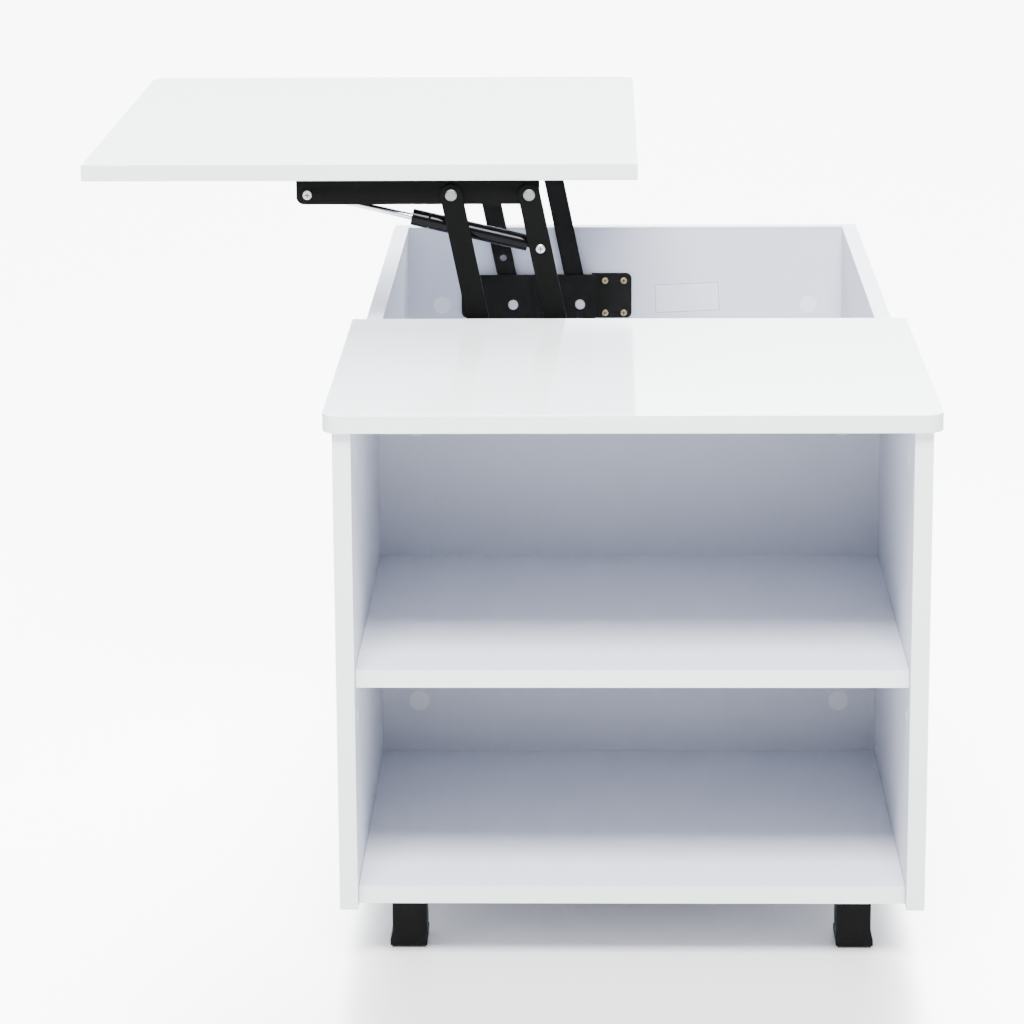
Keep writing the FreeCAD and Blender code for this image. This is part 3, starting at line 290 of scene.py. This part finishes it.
def metal_shader(name, color, rough, brushed, depth=0.00002, recess=None):
    """Plated steel with fine marks; brushed is how far they are drawn out on each axis.

    Recess is the distance of the screws' recess floors from the compartment's middle; painted shade
    darkens those floors."""
    shader = Shader(name)
    marks = shader.noise(1.0, 3, 0.6, shader.stretched(brushed))
    tone = shader.noise(160, 3)
    darker = tuple(channel * PLATING_SHADE for channel in color)
    shader.set(Metallic=1.0)
    plating = shader.blend_colors(tone, color, darker)
    # painted shade: the recess floors get a much darker copy of the plating
    if recess:
        painted_recess_shade = tuple(channel * RECESS_PAINTED_SHADE for channel in color)
        plating = shader.blend_colors(shader.depth_band(recess), plating, painted_recess_shade)
    shader.feed("Base Color", plating)
    shader.feed("Roughness", shader.span(marks, rough - 0.07, rough + 0.1))
    shader.bump(marks, depth)
    return shader.material


def leg_shader():
    """Black moulded plastic with a fine sparked grain."""
    shader = Shader("leg_plastic")
    grain = shader.noise(900, 3, 0.65)
    cloud = shader.noise(35, 3)
    shader.set(Specular_IOR_Level=LEG_SPECULAR)
    shader.feed("Base Color", shader.blend_colors(cloud, LEG_DARK, LEG_LIGHT))
    shader.feed("Roughness", shader.span(grain, 0.42, 0.6))
    shader.bump(grain, 0.00008)
    return shader.material


def rubber_shader():
    """Dull black rubber of the glides."""
    shader = Shader("foot_pad")
    grain = shader.noise(500, 3)
    shader.feed("Base Color", shader.blend_colors(grain, RUBBER_DARK, RUBBER_LIGHT))
    shader.feed("Roughness", shader.span(grain, 0.7, 0.9))
    shader.bump(grain, 0.0001)
    return shader.material


def dowel_shader():
    """Beech dowels, with the grain along their length."""
    shader = Shader("dowel_wood")
    grain = shader.noise(1.0, 4, 0.6, shader.stretched((60, 700, 700)))
    shader.feed("Base Color", shader.blend_colors(grain, WOOD_LIGHT, WOOD_DARK))
    shader.feed("Roughness", shader.span(grain, 0.5, 0.7))
    shader.bump(grain, 0.0001)
    return shader.material


LABEL_TILT = math.radians(2.5)
LABEL_HALF_WIDTH = 0.035
LABEL_HALF_HEIGHT = 0.0165
FRAME_OUTSIDE = 0.0012       # the frame line starts this far inside the label's edge
FRAME_INSIDE = 0.0020
PAPER_LIGHT = (0.74, 0.77, 0.83)
PAPER_SHADE = (0.70, 0.73, 0.80)
FRAME_GREY = (0.36, 0.37, 0.40)


def label_shader():
    """Blank pale sticker with a thin grey frame line inside its edge."""
    low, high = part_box("blank_label")
    middle = (low + high) / 2
    shader = Shader("label_film")
    shift = shader.tree.nodes.new("ShaderNodeMapping")
    shift.vector_type = "TEXTURE"
    shift.inputs["Location"].default_value = middle
    shift.inputs["Rotation"].default_value = (0, -LABEL_TILT, 0)
    shader.link(shader.place, shift.inputs["Vector"])
    split = shader.tree.nodes.new("ShaderNodeSeparateXYZ")
    shader.link(shift.outputs[0], split.inputs[0])
    across = shader.math("ABSOLUTE", split.outputs[0], 0)
    upward = shader.math("ABSOLUTE", split.outputs[2], 0)
    from_side = shader.math("SUBTRACT", LABEL_HALF_WIDTH, across)
    from_edge = shader.math("SUBTRACT", LABEL_HALF_HEIGHT, upward)
    nearest = shader.math("MINIMUM", from_side, from_edge)
    inside = shader.math("GREATER_THAN", nearest, FRAME_OUTSIDE)
    outside = shader.math("LESS_THAN", nearest, FRAME_INSIDE)
    line = shader.math("MULTIPLY", inside, outside)
    paper = shader.blend_colors(shader.noise(120, 3), PAPER_LIGHT, PAPER_SHADE)
    shader.feed("Base Color", shader.blend_colors(line, paper, FRAME_GREY))
    shader.feed("Roughness", shader.span(shader.noise(400, 2), 0.4, 0.5))
    shader.bump(shader.noise(900, 2), 0.00002)
    return shader.material


# ------------------------------------------------------------------ which piece has which material


def dress(material, *names):
    """Gives the CAD nodes named one material."""
    for name in names:
        data = NODES[name].data
        data.materials.clear()
        data.materials.append(material)


def pair(*endings):
    """The near and the far node of each ending."""
    return [end + "_" + ending for end in ("near", "far") for ending in endings]


LEFT, RIGHT, UP, FAR = (-1, 0, 0), (1, 0, 0), (0, 0, 1), (0, 1, 0)
EVEN = (500, 500, 500)
BRASS = (0.44, 0.36, 0.21)
# Distances of the screws' recess floors, where painted shade darkens the plating.
SPRING_BOLT_RECESS = WALL_REACH - 0.0046
ROD_BOLT_RECESS = WALL_REACH - 0.0074
BRACKET_SCREW_RECESS = WALL_REACH - 0.0036

dress(board_shader("board_left", LEFT), "left_side_panel")
dress(board_shader("board_right", RIGHT), "right_side_panel")
dress(board_shader("board_end", FAR), "end_panel")
dress(board_shader("board_top", UP), "fixed_top", "lift_top")
dress(board_shader("board_inner", None), "bottom_panel", "partition_panel", "middle_shelf")
dress(edge_shader(), "fixed_top_edging", "lift_top_edging", "cabinet_edging")
dress(cover_shader(), "cam_covers", "hole_plugs")

LIFT_STEEL = ("base_bracket", "top_bracket", "front_arm", "rear_arm", "spring_sleeve")
# One black paint in two tones: the near pieces darker as painted shade, the far pieces and spacers
# lighter as painted light, evening out their lighting.
dress(powder_shader("near_black_steel_painted_shade", (0.0022, 0.0022, 0.0022), 0.5, 0.00006),
      *["near_" + name for name in LIFT_STEEL])
dress(powder_shader("far_black_steel_painted_light", (0.0095, 0.0095, 0.0085), 0.5, 0.00006),
      *["far_" + name for name in LIFT_STEEL], "pivot_spacers")
dress(powder_shader("tube_paint", (0.002, 0.002, 0.0025), 0.14, 0.00001, 0.12),
      *pair("gas_tube", "tube_end", "rod_end", "rod_guide"))
dress(metal_shader("rod_chrome", (0.78, 0.79, 0.80), 0.13, (40, 900, 900), 0.000004),
      *pair("gas_rod"))
dress(metal_shader("zinc_steel", (0.72, 0.73, 0.74), 0.3, (700, 60, 700)),
      *pair("spring_nut", "rod_stud", "piston"), "leg_screws", "cam_bolts")
# These bolts get painted shade on their recess floors.
dress(metal_shader("spring_bolt_zinc", (0.86, 0.87, 0.88), 0.3, EVEN, recess=SPRING_BOLT_RECESS),
      *pair("spring_bolt"))
dress(metal_shader("rod_bolt_zinc", (0.60, 0.61, 0.62), 0.3, EVEN, recess=ROD_BOLT_RECESS),
      "rod_bolts")
# One rivet steel in two tones: the upper rivets darker as painted shade, the lower ones lighter as
# painted light.
dress(metal_shader("rivet_steel", (0.31, 0.31, 0.305), 0.4, EVEN), "upper_pivot_rivets")
dress(metal_shader("lower_rivet_steel", (0.62, 0.63, 0.64), 0.4, EVEN), "lower_pivot_rivets")
# These screws get painted shade on their recess floors.
dress(metal_shader("brass_screw", BRASS, 0.32, (600, 60, 600), recess=BRACKET_SCREW_RECESS),
      "base_bracket_screws")
dress(metal_shader("brass_flange_screw", BRASS, 0.32, (600, 60, 600)), "top_bracket_screws")
dress(metal_shader("cam_zinc", (0.55, 0.56, 0.57), 0.42, (400, 400, 400)), "cam_locks")
dress(leg_shader(), *pair("left_leg", "right_leg"))
dress(rubber_shader(), "foot_pads")
dress(dowel_shader(), "wooden_dowels")
dress(label_shader(), "blank_label")


# ------------------------------------------------------------------ studio

FLOOR_HALF_SIZE = 40
FLOOR_LIGHT = (0.86, 0.86, 0.865)
FLOOR_SHADE = (0.84, 0.84, 0.845)
ROOM_LIGHT = (0.97, 0.985, 1.0, 1)
OVERHEAD = (0, 0, 1)
BACKDROP = (0, 1, 0.35)      # the backdrop's middle, as seen from the table


def make_floor():
    """A plain pale floor, slightly glossy, that reaches the horizon."""
    mesh = bpy.data.meshes.new("studio_floor")
    shape = bmesh.new()
    bmesh.ops.create_grid(shape, x_segments=1, y_segments=1, size=FLOOR_HALF_SIZE)
    shape.to_mesh(mesh)
    shape.free()
    floor = bpy.data.objects.new("studio_floor", mesh)
    SCENE.collection.objects.link(floor)
    shader = Shader("floor_paint")
    cloud = shader.noise(1.5, 2)
    shader.feed("Base Color", shader.blend_colors(cloud, FLOOR_LIGHT, FLOOR_SHADE))
    shader.set(Roughness=0.4, IOR=2.9)
    mesh.materials.append(shader.material)


def soft_light(name, place, target, size, power):
    """A white area light that looks at the target."""
    data = bpy.data.lights.new(name, "AREA")
    data.shape = "RECTANGLE"
    data.size, data.size_y = size
    data.energy = power
    lamp = bpy.data.objects.new(name, data)
    SCENE.collection.objects.link(lamp)
    lamp.location = place
    aim = Vector(target) - Vector(place)
    lamp.rotation_euler = aim.to_track_quat("-Z", "Y").to_euler()


def make_world(base, backdrop, horizon, overhead):
    """White studio: dim all round, a bright backdrop behind the table and a bright ceiling.

    Horizon is the backdrop's share of light low down, where the glossy tops mirror it."""
    world = bpy.data.worlds.new("studio")
    world.use_nodes = True
    tree = world.node_tree
    back = tree.nodes["Background"]
    back.inputs["Color"].default_value = ROOM_LIGHT
    direction = tree.nodes.new("ShaderNodeTexCoord").outputs["Generated"]

    def glow(toward, start, end, gain):
        """Light from round a direction; start and end are the cosines between which it grows."""
        dot = tree.nodes.new("ShaderNodeVectorMath")
        dot.operation = "DOT_PRODUCT"
        dot.inputs[1].default_value = Vector(toward).normalized()
        tree.links.new(direction, dot.inputs[0])
        ramp = tree.nodes.new("ShaderNodeMapRange")
        ramp.interpolation_type = "SMOOTHSTEP"
        for name, value in (("From Min", start), ("From Max", end), ("To Min", 0.0), ("To Max", gain)):
            ramp.inputs[name].default_value = value
        tree.links.new(dot.outputs["Value"], ramp.inputs["Value"])
        return ramp.outputs[0]

    def combine(kind, first, second):
        node = tree.nodes.new("ShaderNodeMath")
        node.operation = kind
        tree.links.new(first, node.inputs[0])
        if isinstance(second, float):
            node.inputs[1].default_value = second
        else:
            tree.links.new(second, node.inputs[1])
        return node.outputs[0]

    lifted = combine("ADD", glow(OVERHEAD, 0.17, 0.36, 1 - horizon), horizon)
    wall = combine("MULTIPLY", glow(BACKDROP, 0.82, 0.985, backdrop), lifted)
    room = combine("ADD", glow(OVERHEAD, 0.2, 1.0, overhead), base)
    tree.links.new(combine("ADD", wall, room), back.inputs["Strength"])
    SCENE.world = world


make_floor()
make_world(base=0.25, backdrop=44.0, horizon=0.16, overhead=1.7)
TARGET = (CENTER_X, NEAR_END + 0.4, 0.35)
KEY_PLACE = (CENTER_X - 0.1, NEAR_END - 1.55, 3.1)
soft_light("key", KEY_PLACE, TARGET, size=(1.6, 1.2), power=370)
